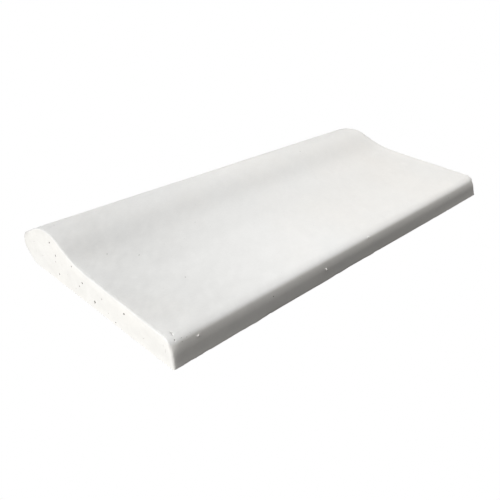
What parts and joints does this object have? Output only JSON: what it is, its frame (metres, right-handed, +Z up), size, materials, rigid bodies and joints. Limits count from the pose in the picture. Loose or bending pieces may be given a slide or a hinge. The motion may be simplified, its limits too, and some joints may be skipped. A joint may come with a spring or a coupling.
{
  "type": "pool coping stone",
  "caption": "Flat cast concrete slab whose long edge on the pool side rises through a soft hollow into a rounded nose that overhangs the pool; drafted ends and back.",
  "frame": {"origin": "middle of the plan (nose tip to back edge, and end to end) at the level of the bed", "axes": "+X along the nose, +Y towards the pool, +Z up; the flat bed lies on the ground at z = 0"},
  "size_m": [0.5, 0.25, 0.045],
  "materials": {
    "cast_stone": "off-white cast concrete, fine and matte, with small air holes from the mould"
  },
  "bodies": {
    "root": {"coping_stone": "cast_stone"}
  },
  "joints": []
}
